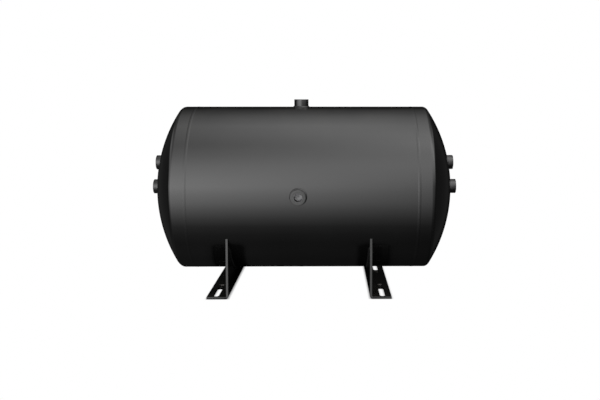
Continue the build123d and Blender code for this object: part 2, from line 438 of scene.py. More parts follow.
def make_heads(material):
    rule = head_rule()
    sizes = {
        "Vessel_Radius": vessel_radius,
        "Crown_Radius": crown_radius,
        "Knuckle_Radius": knuckle_radius,
        "Crown_Half_Angle": crown_half_angle,
        "Crown_Centre": crown_centre,
        "Tangent_Line": tangent,
        "Skirt_End": weld_outer,
        "Lip_End": head_lip_end,
        "Lip_Radius": lip_radius,
        "Step_Run": lip_step_run,
        "Wall": wall,
    }
    for side, word in ((-1, "left"), (1, "right")):
        piece = rule.cast("dished_end_" + word, material, head_place(side), **sizes)
        drills = []
        for port_side, height, face, _ in head_ports.values():
            if port_side == side:
                place = head_place(side, height) @ Matrix.Translation((0, 0, face))
                drills.append((place, boss_radius + hole_clearance))
        drill(piece, drills)
        polish(piece)
        settle(piece, "head_" + word)


# ---------------------------------------------------------------- welds
def ripple(phase, height):
    """Scale-shaped ripples: round humps with sharp valleys."""
    return sine(phase * pi).reckon("ABSOLUTE") * height


def unevenness(rule, where, amount):
    """Slow change of a bead's size along its run, by a fixed noise."""
    noise = rule.tree.nodes.new("ShaderNodeTexNoise")
    noise.noise_dimensions = "1D"
    feed(rule.tree, noise.inputs["W"], where)
    noise.inputs["Scale"].default_value = 1.0
    noise.inputs["Detail"].default_value = 1.0
    return (Reading(rule.tree, noise.outputs[0]) - 0.5) * amount + 1.0


def fillet_sheets(rule, leg, spot, ripples, ripple_height, rows=10):
    """Closed fillet: its rippled face, then back along the wall and along the host.

    spot(out, up) gives x, y and z at a distance out from the wall and up from the host.
    """
    face_angle = rule.across * (pi / 2)
    fullness = 1.5
    bow = (rule.across - 0.5) ** 2.0
    wave = ripple(rule.along * ripples + bow * 1.2, ripple_height) * sine(rule.across * pi)
    out = cosine(face_angle) ** fullness * leg + wave * cosine(face_angle)
    up = sine(face_angle) ** fullness * leg + wave * sine(face_angle)
    rule.sheet(*spot(out, up), rows)
    rule.sheet(*spot(0.0, leg * (1.0 - rule.across)), 1)
    rule.sheet(*spot(leg * rule.across, 0.0), 1)


def boss_weld_rule():
    """Fillet weld round a boss, on a cylinder or, with Dome at 1, on a sphere."""
    rule = Rule("Fillet weld round a boss", columns=420)
    inner = rule.size("Boss Radius", 0.0175)
    leg = rule.size("Leg", 0.0025)
    host = rule.size("Host Radius", 0.2)
    dome = rule.size("Dome", 0.0)
    offset = rule.size("Offset", 0.0)
    base = rule.size("Base", 0.0)
    ripples = rule.size("Ripples", 70.0)
    height = rule.size("Ripple Height", 0.00015)
    seed = rule.size("Seed", 0.0)
    size = leg * unevenness(rule, sine(rule.turn_angle) * 1.5 + seed, 0.16)

    def spot(out, up):
        reach = inner + out
        x = reach * cosine(rule.turn_angle)
        y = reach * sine(rule.turn_angle)
        drop = host * host - dome * (x + offset) ** 2.0 - y * y
        return x, y, root(drop) + base + up

    fillet_sheets(rule, size, spot, ripples, height)
    return rule.close()


def make_boss_welds(material):
    rule = boss_weld_rule()
    leg = 0.0023
    shell_welds = {
        "top_port": (0.0, leg),
        "front_port": (pi / 2, leg),
        "drain_boss": (pi, drain_weld_leg),
    }
    for seed, (name, (turn, shell_leg)) in enumerate(shell_welds.items()):
        sizes = {
            "Boss_Radius": boss_radius,
            "Leg": shell_leg,
            "Host_Radius": vessel_radius,
            "Seed": 7.0 * seed,
        }
        piece = rule.cast(name + "_bead", material, shell_place(turn), **sizes)
        settle(piece, name + "_weld")
    for seed, (name, (side, height, _, _)) in enumerate(head_ports.items()):
        sizes = {
            "Boss_Radius": boss_radius,
            "Leg": leg,
            "Host_Radius": crown_radius,
            "Dome": 1.0,
            "Offset": -side * height,
            "Base": crown_centre,
            "Seed": 30 + 7.0 * seed,
        }
        piece = rule.cast(name + "_bead", material, head_place(side, height), **sizes)
        settle(piece, name + "_weld")


def foot_weld_rule():
    """Fillet weld along the arc where a foot's web meets the shell, its ends run out."""
    rule = Rule("Fillet weld along a foot", columns=1320)
    leg = rule.size("Leg", 0.004)
    host = rule.size("Shell Radius", 0.2)
    half_angle = rule.size("Half Angle", 1.0)
    way = rule.size("Way", 1.0)
    ripples = rule.size("Ripples", 190.0)
    height = rule.size("Ripple Height", 0.0002)
    seed = rule.size("Seed", 0.0)
    end_taper = rule.size("End Taper", 4.0)
    angle = (rule.along * 2.0 - 1.0) * half_angle
    from_end = (1.0 - (rule.along * 2.0 - 1.0).reckon("ABSOLUTE")) * half_angle * host
    near_end = (from_end / leg / end_taper).reckon("MINIMUM", 1.0)
    run_out = near_end * near_end * (3.0 - 2.0 * near_end)
    size = leg * run_out * unevenness(rule, rule.along * 40.0 + seed, 0.16)

    def spot(out, up):
        reach = host + up
        return way * out, reach * sine(angle), reach * cosine(angle) * -1.0

    fillet_sheets(rule, size, spot, ripples, height * run_out)
    return rule.close()


def make_foot_welds(material):
    rule = foot_weld_rule()
    weld_stop = 0.008
    reach = span("right_foot", y_axis) / 2 - weld_stop
    leg = 0.0042
    web_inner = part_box("right_foot")[0].x
    web_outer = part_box("right_foot_weld_outer")[0].x
    seed = 0
    for side, word in ((-1, "left"), (1, "right")):
        for face_x, way, part in ((web_inner, -1, "inner"), (web_outer, 1, "outer")):
            seed += 11
            sizes = {
                "Leg": leg,
                "Shell_Radius": vessel_radius,
                "Half_Angle": asin(reach / (vessel_radius + leg)),
                "Way": float(side * way),
                "Seed": float(seed),
            }
            place = Matrix.Translation((side * face_x, 0, axis_height))
            piece = rule.cast(f"{word}_foot_bead_{part}", material, place, **sizes)
            settle(piece, f"{word}_foot_weld_{part}")


def girth_weld_rule():
    """Ring that fills the groove between shell and head, with a low rippled crown."""
    rule = Rule("Girth weld", columns=4400)
    radius = rule.size("Radius", 0.2)
    floor = rule.size("Groove Floor", 0.195)
    half = rule.size("Half Width", 0.0035)
    crown = rule.size("Crown", 0.0002)
    ripples = rule.size("Ripples", 730.0)
    height = rule.size("Ripple Height", 0.00004)
    lower = half * -1.0
    spread = rule.across * 2.0 - 1.0
    hump = 1.0 - spread * spread
    wave = ripple(rule.along * ripples + spread * spread * 0.8, height)
    rule.turned(spread * half, radius + hump * crown + hump * wave, rows=8)
    rule.turned_outline([(half, radius), (half, floor), (lower, floor), (lower, radius)])
    return rule.close()


def make_girth_welds(material):
    rule = girth_weld_rule()
    for side, word in ((-1, "left"), (1, "right")):
        sizes = {"Radius": vessel_radius, "Groove_Floor": lip_radius, "Half_Width": head_weld_width / 2}
        place = head_place(side) @ Matrix.Translation((0, 0, (weld_inner + weld_outer) / 2))
        piece = rule.cast("girth_bead_" + word, material, place, **sizes)
        settle(piece, "head_weld_" + word)


def seam_rule():
    """Straight bead on the shell, along the line where the rolled sheet closes."""
    rule = Rule("Long seam bead", columns=2400)
    radius = rule.size("Radius", 0.2)
    half = rule.size("Half Length", 0.26)
    half_width = rule.size("Half Width", 0.004)
    crown = rule.size("Crown", 0.0008)
    sink = rule.size("Sink", 0.0002)
    ripples = rule.size("Ripples", 340.0)
    height = rule.size("Ripple Height", 0.00012)
    spread = rule.across * 2.0 - 1.0
    hump = 1.0 - spread * spread
    from_end = (1.0 - (rule.along * 2.0 - 1.0).reckon("ABSOLUTE")) * half
    run_out = root((from_end / half_width).reckon("MINIMUM", 1.0))
    wave = ripple(rule.along * ripples + spread * spread * 1.2, height)
    side = spread * half_width * unevenness(rule, rule.along * 50.0, 0.12)
    skin = root(radius * radius - side * side) - sink
    x = (rule.along * 2.0 - 1.0) * half
    rule.sheet(x, side, skin + hump * run_out * (crown + sink + wave), 10)
    rule.sheet(x, side * -1.0, skin, 10)
    return rule.close()


def make_seam(material):
    turn = radians(25 - 90)
    place = Matrix.Translation((vessel_middle, 0, 0)) @ shell_place(turn)
    sizes = {"Radius": vessel_radius, "Half_Length": shell_half}
    piece = seam_rule().cast("long_seam_bead", material, place, **sizes)
    settle(piece, "shell_seam_weld")


# ---------------------------------------------------------------- threaded pieces
rows_per_turn = 10


def thread_height(rule, height, pitch, depth):
    """Right-hand V thread about Z, 0 at its inner flat and depth at its outer flat."""
    turn = (height / pitch - rule.along).reckon("FRACT")
    ridge = (turn * 2.0 - 1.0).reckon("ABSOLUTE")
    flat = 0.12
    return ((ridge - flat) / (1 - 2 * flat)).reckon("MAXIMUM", 0.0).reckon("MINIMUM", 1.0) * depth


def threaded_bore(rule, top, bottom, core, rows):
    """Bore from its lower end up to its mouth, both ends chamfered."""
    pitch = rule.size("Pitch", thread_pitch)
    depth = rule.size("Thread Depth", thread_depth)
    mouth = rule.size("Mouth Radius", mouth_radius)
    height = (top - bottom) * rule.across + bottom
    cut = core + thread_height(rule, height, pitch, depth)
    upper = mouth - (top - height)
    lower = mouth - (height - bottom)
    rule.turned(height, cut.reckon("MAXIMUM", upper).reckon("MAXIMUM", lower), rows)
    return mouth


def boss_rule(length):
    """Threaded boss with its face at Z = 0 and its corner turned off round."""
    rule = Rule("Threaded boss")
    outside = rule.size("Boss Radius", 0.0175)
    deep = rule.size("Length", 0.026) * -1.0
    core = rule.size("Core Radius", core_radius)
    corner = rule.size("Corner Radius", 0.0008)
    face = 0.0
    rows = round(length / thread_pitch * rows_per_turn)
    mouth = threaded_bore(rule, face, deep, core, rows)
    rule.turned_line((face, mouth), (face, outside - corner), rows=2)
    rule.turned_arc((corner * -1.0, outside - corner), corner, face, face + pi / 2, rows=5)
    rule.turned_line((corner * -1.0, outside), (deep, outside), rows=2)
    rule.turned_line((deep, outside), (deep, mouth))
    return rule.close()


def make_boss(name, place, length):
    material = boss_paint(name + "_paint", place)
    sizes = {"Boss_Radius": boss_radius, "Length": length}
    piece = boss_rule(length).cast(name + "_collar", material, place, **sizes)
    settle(piece, name + "_boss")


def make_bosses():
    for name, (turn, face, length) in shell_ports.items():
        make_boss(name, shell_place(turn) @ Matrix.Translation((0, 0, face)), length)
    for name, (side, height, face, length) in head_ports.items():
        make_boss(name, head_place(side, height) @ Matrix.Translation((0, 0, face)), length)


def drain_boss_rule(length):
    """Boss with a recess for the screw's head and seal, threaded below it."""
    rule = Rule("Drain boss")
    outside = rule.size("Boss Radius", 0.0175)
    deep = rule.size("Length", 0.0198) * -1.0
    core = rule.size("Core Radius", core_radius)
    corner = rule.size("Corner Radius", 0.0008)
    recess = rule.size("Recess Radius", 0.014)
    floor = rule.size("Recess Depth", 0.0068) * -1.0
    face = 0.0
    rows = round(length / thread_pitch * rows_per_turn)
    mouth = threaded_bore(rule, floor, deep, core, rows)
    rule.turned_outline([(floor, mouth), (floor, recess), (face, recess), (face, outside - corner)])
    rule.turned_arc((corner * -1.0, outside - corner), corner, face, face + pi / 2, rows=5)
    rule.turned_line((corner * -1.0, outside), (deep, outside), rows=2)
    rule.turned_line((deep, outside), (deep, mouth))
    return rule.close()


def drain_place():
    return shell_place(pi) @ Matrix.Translation((0, 0, drain_face))


def make_drain_boss():
    length = span("drain_boss", z_axis)
    material = boss_paint("drain_boss_paint", drain_place())
    sizes = {"Boss_Radius": boss_radius, "Length": length, "Corner_Radius": drain_corner_radius}
    piece = drain_boss_rule(length).cast("drain_collar", material, drain_place(), **sizes)
    settle(piece, "drain_boss")


def drain_screw_rule(shank):
    """Headed screw with its head's face at Z = 0, before the hexagon is cut."""
    rule = Rule("Drain screw")
    head = rule.size("Head Radius", 0.0135)
    thick = rule.size("Head Thickness", 0.005)
    shank_end = rule.size("Shank End", 0.0185) * -1.0
    core = rule.size("Core Radius", core_radius - 0.0001)
    corner = rule.size("Corner Radius", 0.0006)
    offset = rule.size("Face Offset", 0.0003)
    pitch = rule.size("Pitch", thread_pitch)
    depth = rule.size("Thread Depth", thread_depth - 0.00005)
    run_out = rule.size("Run Out", 0.0028)
    face = 0.0
    under = thick * -1.0
    height = (under - shank_end) * rule.across + shank_end
    full = core + thread_height(rule, height - offset, pitch, depth)
    tip = core - 0.0006 + (height - shank_end)
    neck = core + ((under - height) / run_out).reckon("MINIMUM", 1.0) * depth
    rows = round(shank / thread_pitch * rows_per_turn)
    rule.turned_line((shank_end, face), (shank_end, core - 0.0006))
    rule.turned(height, full.reckon("MINIMUM", tip).reckon("MINIMUM", neck), rows)
    rule.turned_line((under, core), (under, head))
    rule.turned_line((under, head), (corner * -1.0, head))
    rule.turned_arc((corner * -1.0, head - corner), corner, face + pi / 2, face, rows=5)
    rule.turned_line((face, head - corner), (face, face), rows=4)
    return rule.close()


def make_drain_screw():
    low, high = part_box("drain_plug")
    length = high.z - low.z
    offset = low.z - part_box("drain_boss")[0].z
    head_thickness = 0.005
    sizes = {
        "Head_Radius": span("drain_plug", x_axis) / 2,
        "Head_Thickness": head_thickness,
        "Shank_End": length,
        "Face_Offset": offset,
    }
    place = drain_place() @ Matrix.Translation((0, 0, -offset))
    rule = drain_screw_rule(length - head_thickness)
    piece = rule.cast("drain_screw", zinc_plate(place), place, **sizes)
    cut_with(piece, hexagon_tool(place))
    piece.data.set_sharp_from_angle(angle=radians(35))
    settle(piece, "drain_plug", "drain_plug")


def hexagon_tool(place):
    """Broach for the hexagon socket, from just above the screw's face down to its depth."""
    tool = bmesh.new()
    across_flats = 0.012
    depth = 0.007
    above = 0.001
    corner = across_flats / 2 / cos(pi / 6)
    middle_spot = place @ Matrix.Translation((0, 0, (above - depth) / 2))
    bmesh.ops.create_cone(
        tool, cap_ends=True, segments=6, radius1=corner, radius2=corner,
        depth=depth + above, matrix=middle_spot,
    )
    return tool


def washer_rule():
    """Flat ring with softly rounded edges, standing on Z = 0."""
    rule = Rule("Washer", columns=128)
    outside = rule.size("Outer Radius", 0.0133)
    inside = rule.size("Inner Radius", 0.0111)
    thick = rule.size("Thickness", 0.0015)
    soft = rule.size("Edge Radius", 0.0004)
    for quarter in range(4):
        start = quarter * pi / 2
        centre_up = thick - soft if quarter in (0, 3) else soft
        centre_out = outside - soft if quarter in (0, 1) else inside + soft
        rule.turned_arc((centre_up, centre_out), soft, start, start + pi / 2, rows=4)
    rule.turned_line((thick - soft, outside), (soft, outside))
    rule.turned_line((0.0, outside - soft), (0.0, inside + soft))
    rule.turned_line((soft, inside), (thick - soft, inside))
    rule.turned_line((thick, inside + soft), (thick, outside - soft))
    return rule.close()


def make_washer():
    low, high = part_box("drain_seal_ring")
    thickness = high.z - low.z
    drop = high.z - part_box("drain_boss")[0].z
    sizes = {"Outer_Radius": (high.x - low.x) / 2, "Thickness": thickness}
    place = drain_place() @ Matrix.Translation((0, 0, -drop))
    piece = washer_rule().cast("drain_washer", seal_rubber(), place, **sizes)
    settle(piece, "drain_seal_ring", "seal_ring")


def cup_rule():
    """Push-in cup: lip in the mouth's chamfer, thin wall, and a floor with a moulding nub."""
    rule = Rule("Port cup", columns=128)
    outside = rule.size("Wall Radius", 0.010088)
    lip = rule.size("Lip Radius", 0.0114)
    lip_top = rule.size("Lip Thickness", 0.0009)
    thick = rule.size("Wall", 0.0012)
    floor = rule.size("Floor Depth", 0.02) * -1.0
    under = rule.size("Floor Thickness", 0.0016)
    soft = rule.size("Edge Radius", 0.0003)
    nub = rule.size("Nub Radius", 0.0012)
    quarter = pi / 2
    inside = outside - thick
    inner_soft = 0.0008
    under_lip = (lip - outside) * -1.0
    rule.turned_arc((floor - under + soft, outside - soft), soft, pi, quarter, rows=4)
    rule.turned_line((floor - under + soft, outside), (under_lip, outside), rows=2)
    rule.turned_line((under_lip, outside), (0.0, lip))
    rule.turned_line((0.0, lip), (lip_top - soft, lip))
    rule.turned_arc((lip_top - soft, lip - soft), soft, quarter, 0.0, rows=4)
    rule.turned_line((lip_top, lip - soft), (lip_top, inside + soft))
    rule.turned_arc((lip_top - soft, inside + soft), soft, 0.0, -quarter, rows=4)
    rule.turned_line((lip_top - soft, inside), (floor + inner_soft, inside), rows=2)
    rule.turned_arc((floor + inner_soft, inside - inner_soft), inner_soft, quarter, pi, rows=6)
    rule.turned_line((floor, inside - inner_soft), (floor, nub), rows=4)
    out = nub * (1.0 - rule.across)
    rule.turned(floor + root(nub * nub - out * out + 1e-12) * 0.5, out, 6)
    rule.turned_line((floor - under, 0.0), (floor - under, outside - soft), rows=4)
    return rule.close()


def make_cup():
    face = shell_ports["front_port"][1]
    place = shell_place(pi / 2) @ Matrix.Translation((0, 0, face))
    piece = cup_rule().cast("front_port_cup", cap_plastic(place), place)
    settle(piece, "front_port_plug", "port_plug")


# ---------------------------------------------------------------- feet
foot_thickness = 0.005
bend_inside = 0.002
web_gap = 0.0002
edge_softness = 0.0004
slot_length = 0.08
slot_width = 0.013
slot_spacing = 0.25
round_hole_radius = 0.0055
round_hole_spacing = 0.13
hole_gauge = 0.03


def arc_points(centre, radius, start, end, steps=10):
    """Points on an arc about an (x, z) centre."""
    turns = [start + (end - start) * step / steps for step in range(steps + 1)]
    return [(centre[0] + radius * cos(turn), centre[1] + radius * sin(turn)) for turn in turns]


def foot_section():
    """Section of the right foot in X and Z: web upwards, flange to the right."""
    low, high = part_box("right_foot")
    web = low.x + foot_thickness
    heel = bend_inside + foot_thickness
    throat = arc_points((web + bend_inside, foot_thickness + bend_inside), bend_inside, 1.5 * pi, pi)
    back = arc_points((low.x + heel, heel), heel, pi, 1.5 * pi)
    corners = [(high.x, 0.0), (high.x, foot_thickness)]
    return corners + throat + [(web, high.z), (low.x, high.z)] + back


def prism(tool, outline, depth, place):
    """Adds an upright prism to a bmesh: an (x, y) outline, pushed along Z."""
    ring = [tool.verts.new(place @ Vector((x, y, 0))) for x, y in outline]
    face = tool.faces.new(ring)
    pushed = bmesh.ops.extrude_face_region(tool, geom=[face])
    moved = [item for item in pushed["geom"] if isinstance(item, bmesh.types.BMVert)]
    shift = place.to_3x3() @ Vector((0, 0, depth))
    bmesh.ops.translate(tool, verts=moved, vec=shift)
    bmesh.ops.recalc_face_normals(tool, faces=tool.faces)


def slot_outline():
    """Outline of a slot along Y with round ends."""
    radius = slot_width / 2
    reach = slot_length / 2 - radius
    far = arc_points((0, reach), radius, 0, pi, 12)
    near = arc_points((0, -reach), radius, pi, 2 * pi, 12)
    return far + near


def foot_tool(side):
    """Everything that is cut from a foot: the saddle, two slots and two round holes."""
    tool = bmesh.new()
    across = Matrix.Translation((0, 0, axis_height)) @ Matrix.Rotation(pi / 2, 4, "Y")
    bmesh.ops.create_cone(
        tool, cap_ends=True, segments=360, radius1=vessel_radius + web_gap,
        radius2=vessel_radius + web_gap, depth=4 * vessel_radius, matrix=across,
    )
    hole_x = side * (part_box("right_foot")[0].x + hole_gauge)
    below = 0.001
    depth = foot_thickness + 2 * below
    for way in (-1, 1):
        slot_spot = Matrix.Translation((hole_x, way * slot_spacing / 2, -below))
        prism(tool, slot_outline(), depth, slot_spot)
        hole_spot = Matrix.Translation((hole_x, way * round_hole_spacing / 2, -below))
        prism(tool, arc_points((0, 0), round_hole_radius, 0, 2 * pi - pi / 24, 47), depth, hole_spot)
    return tool


def make_feet(material):
    depth = span("right_foot", y_axis)
    for side, word in ((-1, "left"), (1, "right")):
        plate = bmesh.new()
        place = Matrix.Translation((0, depth / 2, 0)) @ Matrix.Rotation(pi / 2, 4, "X")
        outline = [(side * x, z) for x, z in foot_section()]
        prism(plate, outline, depth, place)
        mesh = bpy.data.meshes.new(word)
        plate.to_mesh(mesh)
        plate.free()
        mesh.materials.append(material)
        piece = new_piece(word + "_bent_foot", mesh)
        cut_with(piece, foot_tool(side))
        soften(piece)
        settle(piece, word + "_foot")


def soften(piece):
    """Breaks the sharp edges of a plate, as paint and tumbling do."""
    name = piece.name
    bevel = piece.modifiers.new("edges", "BEVEL")
    bevel.width = edge_softness
    bevel.segments = 2
    bevel.limit_method = "ANGLE"
    bevel.angle_limit = radians(40)
    bevel.harden_normals = True
    for face in piece.data.polygons:
        face.use_smooth = True
    depsgraph = bpy.context.evaluated_depsgraph_get()
    mesh = bpy.data.meshes.new_from_object(piece.evaluated_get(depsgraph))
    piece.modifiers.remove(bevel)
    piece.data = mesh
    mesh.name = name


# ---------------------------------------------------------------- studio
lens_length = 43.094
sensor_width = 36.0
frame_shift = (-0.06298, -0.08104)
camera_place = (0.07033, -1.78264, 0.45638)
camera_dip = 0.073379
camera_turn = 0.011038


def add_camera():
    camera = bpy.data.cameras.new("camera")
    camera.lens = lens_length
    camera.sensor_width = sensor_width
    camera.shift_x, camera.shift_y = frame_shift
    holder = bpy.data.objects.new("camera", camera)
    holder.location = camera_place
    holder.rotation_euler = (pi / 2 - camera_dip, 0, -camera_turn)
    bpy.context.scene.collection.objects.link(holder)
    bpy.context.scene.camera = holder


# Brightness of the studio by the angle over the tank: (degrees, light). Level in front is 0,
# overhead 90, level behind 180 and straight down -90.
studio_bands = [
    (-180, 0.004),
    (-150, 0.008),
    (-117, 0.028),
    (-95, 0.055),
    (-78, 0.065),
    (-64, 0.112),
    (-51, 0.22),
    (-39, 0.57),
    (-27, 1.1),
    (-16, 1.74),
    (-5, 2.22),
    (6, 2.78),
    (17, 2.94),
    (34, 2.9),
    (51, 2.5),
    (64, 2.4),
    (84, 2.44),
    (100, 2.1),
    (108, 1.57),
    (118, 1.02),
    (127, 0.6),
    (133, 0.37),
    (141, 0.2),
    (150, 0.075),
    (156, 0.015),
    (180, 0.004),
]
brightest = 4.0
side_reach = 0.3
low_side_slope = -2.1
high_side_gain = 4.1
high_side_start = radians(5)
high_side_run = radians(60)
top_start = radians(70)
top_run = radians(30)
top_bow = 7.5
top_slope = 0.35
side_falloff = 0.45
end_light = 1.4
end_light_height = (0.2, 0.6)
end_light_spread = (0.4, 0.75)
end_fill = 0.03
end_fill_spread = (0.1, 0.3)


def add_world():
    """Soft studio: a wide light in front and above, dimmer behind, white to the eye."""
    world = bpy.data.worlds.new("studio")
    bpy.context.scene.world = world
    world.use_nodes = True
    tree = world.node_tree
    tree.nodes.clear()
    place = tree.nodes.new("ShaderNodeTexCoord")
    parts = tree.nodes.new("ShaderNodeSeparateXYZ")
    tree.links.new(place.outputs["Generated"], parts.inputs[0])
    sideways = Reading(tree, parts.outputs["X"])
    front = Reading(tree, parts.outputs["Y"]) * -1.0
    lift = Reading(tree, parts.outputs["Z"]).reckon("ARCTAN2", front)
    ramp = tree.nodes.new("ShaderNodeValToRGB")
    feed(tree, ramp.inputs[0], (lift / pi + 1.0) / 2.0)
    fill_ramp(ramp, studio_bands)
    high_part = stretched(lift, high_side_start, high_side_start + high_side_run)
    top_part = stretched(lift, top_start, top_start + top_run)
    slope = (high_part * high_side_gain + low_side_slope) * (1.0 - top_part) + top_part * top_slope
    side = sideways.reckon("MAXIMUM", -side_reach).reckon("MINIMUM", side_reach)
    evenness = side * slope - side * side * top_part * top_bow + 1.0
    lengthwise = sideways * sideways
    falloff = (1.0 - lengthwise).reckon("MAXIMUM", 0.0) ** side_falloff
    bank = Reading(tree, ramp.outputs["Color"]) * evenness * falloff * brightest
    high = Reading(tree, parts.outputs["Z"])
    end_lights = stretched(high, *end_light_height) * stretched(lengthwise, *end_light_spread)
    glow = bank + end_lights * end_light + stretched(lengthwise, *end_fill_spread) * end_fill
    light = node_of(tree, "ShaderNodeBackground", Strength=glow)
    white = node_of(tree, "ShaderNodeBackground", Strength=1.0)
    for shade in (light, white):
        shade.inputs["Color"].default_value = (1, 1, 1, 1)
    path = tree.nodes.new("ShaderNodeLightPath")
    mix = tree.nodes.new("ShaderNodeMixShader")
    tree.links.new(path.outputs["Is Camera Ray"], mix.inputs[0])
    tree.links.new(light.outputs[0], mix.inputs[1])
    tree.links.new(white.outputs[0], mix.inputs[2])
    out = tree.nodes.new("ShaderNodeOutputWorld")
    tree.links.new(mix.outputs[0], out.inputs["Surface"])


def fill_ramp(ramp, bands):
    points = ramp.color_ramp.elements
    while len(points) > 1:
        points.remove(points[-1])
    points[0].position = 0
    for angle, light in bands:
        point = points.new((angle + 180) / 360)
        point.color = (light / brightest,) * 3 + (1,)
    points[0].color = points[1].color


def add_floor():
    """Pale floor, white to the eye, with a thin shadow where something stands on it."""
    mesh = bpy.data.meshes.new("floor")
    half = 6.0
    corners = [(-half, -half, 0), (half, -half, 0), (half, half, 0), (-half, half, 0)]
    mesh.from_pydata(corners, [], [(0, 1, 2, 3)])
    floor = bpy.data.objects.new("floor", mesh)
    bpy.context.scene.collection.objects.link(floor)
    floor.visible_diffuse = False
    floor.visible_shadow = False
    mesh.materials.append(floor_finish())


def floor_finish():
    """Pale from above and clear from below; a reflection meets only the shadow at a contact."""
    material = bpy.data.materials.new("floor_finish")
    material.use_nodes = True
    tree = material.node_tree
    tree.nodes.clear()
    near = contact_shade(tree, reach=0.006)
    wide = contact_shade(tree, reach=0.03)
    pale = tree.nodes.new("ShaderNodeEmission")
    feed(tree, pale.inputs["Strength"], 1.0 - near)
    clear = tree.nodes.new("ShaderNodeBsdfTransparent")
    shadow = node_of(tree, "ShaderNodeEmission", Strength=0.0)
    reflected = tree.nodes.new("ShaderNodeMixShader")
    feed(tree, reflected.inputs[0], stretched(wide, 0.02, 0.08))
    tree.links.new(clear.outputs[0], reflected.inputs[1])
    tree.links.new(shadow.outputs[0], reflected.inputs[2])
    side = tree.nodes.new("ShaderNodeNewGeometry")
    seen = tree.nodes.new("ShaderNodeMixShader")
    tree.links.new(side.outputs["Backfacing"], seen.inputs[0])
    tree.links.new(pale.outputs[0], seen.inputs[1])
    tree.links.new(clear.outputs[0], seen.inputs[2])
    path = tree.nodes.new("ShaderNodeLightPath")
    mix = tree.nodes.new("ShaderNodeMixShader")
    tree.links.new(path.outputs["Is Camera Ray"], mix.inputs[0])
    tree.links.new(reflected.outputs[0], mix.inputs[1])
    tree.links.new(seen.outputs[0], mix.inputs[2])
    out = tree.nodes.new("ShaderNodeOutputMaterial")
    tree.links.new(mix.outputs[0], out.inputs["Surface"])
    return material


def contact_shade(tree, reach):
    """How much of the sky is hidden from the floor within a reach, from 0 to 1."""
    contact = node_of(tree, "ShaderNodeAmbientOcclusion", Distance=reach)
    contact.samples = 8
    return 1.0 - Reading(tree, contact.outputs["AO"])


# ---------------------------------------------------------------- finishes
class Effect:
    """A shader node group with named inputs and outputs, built once and put into finishes."""

    def __init__(self, name, numbers, colors, outputs):
        self.tree = bpy.data.node_groups.new(name, "ShaderNodeTree")
        face = self.tree.interface
        face.new_socket("Vector", in_out="INPUT", socket_type="NodeSocketVector")
        for title, value in numbers.items():
            socket = face.new_socket(title, in_out="INPUT", socket_type="NodeSocketFloat")
            socket.default_value = value
        for title, value in colors.items():
            socket = face.new_socket(title, in_out="INPUT", socket_type="NodeSocketColor")
            socket.default_value = value + (1.0,)
        for title in outputs:
            kind = "NodeSocketColor" if title == "Color" else "NodeSocketFloat"
            face.new_socket(title, in_out="OUTPUT", socket_type=kind)
        self.inside = self.tree.nodes.new("NodeGroupInput")
        self.outside = self.tree.nodes.new("NodeGroupOutput")

    def given(self, name):
        return Reading(self.tree, self.inside.outputs[name])

    def give(self, name, value):
        feed(self.tree, self.outside.inputs[name], value)

    def put(self, tree, where, **values):
        """Places the effect in a finish and returns a lookup of its outputs by name."""
        node = tree.nodes.new("ShaderNodeGroup")
        node.node_tree = self.tree
        feed(tree, node.inputs["Vector"], where)
        for title, value in values.items():
            if isinstance(value, tuple):
                value += (1.0,)
            feed(tree, node.inputs[title.replace("_", " ")], value)
        return {socket.name: Reading(tree, socket) for socket in node.outputs}


def noise(tree, where, scale, detail=2.0):
    """Noise from 0 to 1, with about so many features per metre."""
    node = node_of(tree, "ShaderNodeTexNoise", Vector=where, Scale=scale, Detail=detail)
    return Reading(tree, node.outputs[0])


def blended(tree, mask, first, second):
    """First colour where the mask is 0, second where it is 1."""
    node = tree.nodes.new("ShaderNodeMix")
    node.data_type = "RGBA"
    factor, first_in, second_in = node.inputs[0], node.inputs[6], node.inputs[7]
    feed(tree, factor, mask)
    for socket, value in ((first_in, first), (second_in, second)):
        if isinstance(value, tuple):
            value += (1.0,)
        feed(tree, socket, value)
    return Reading(tree, node.outputs[2])


def facing(tree, direction):
    """How far the surface faces along X, Y or Z, from -1 to 1."""
    geometry = tree.nodes.new("ShaderNodeNewGeometry")
    parts = tree.nodes.new("ShaderNodeSeparateXYZ")
    tree.links.new(geometry.outputs["Normal"], parts.inputs[0])
    return Reading(tree, parts.outputs[direction])


def paint_film_effect():
    """Sprayed paint: orange peel, long shallow waves, dust nibs and drifting gloss."""
    numbers = {"Peel Scale": 420.0, "Glossy": 0.05, "Dull": 0.11}
    colors = {"Deep": (0.002, 0.002, 0.002), "Thin": (0.003, 0.003, 0.003)}
    effect = Effect("Paint film", numbers, colors, ("Color", "Roughness", "Height"))
    tree = effect.tree
    where = effect.given("Vector")
    peel_scale = effect.given("Peel Scale")
    peel = noise(tree, where, scale=peel_scale, detail=1.0)
    waves = noise(tree, where, scale=peel_scale / 14.0, detail=1.0)
    drift = stretched(noise(tree, where, scale=7.0, detail=4.0), 0.3, 0.7)
    nibs = stretched(noise(tree, where, scale=peel_scale * 1.7, detail=0.0), 0.8, 0.9)
    glossy = effect.given("Glossy")
    effect.give("Color", blended(tree, drift, effect.given("Deep"), effect.given("Thin")))
    effect.give("Roughness", glossy + (effect.given("Dull") - glossy) * drift + nibs * 0.1)
    effect.give("Height", peel + waves * 3.0 + nibs)
    return effect


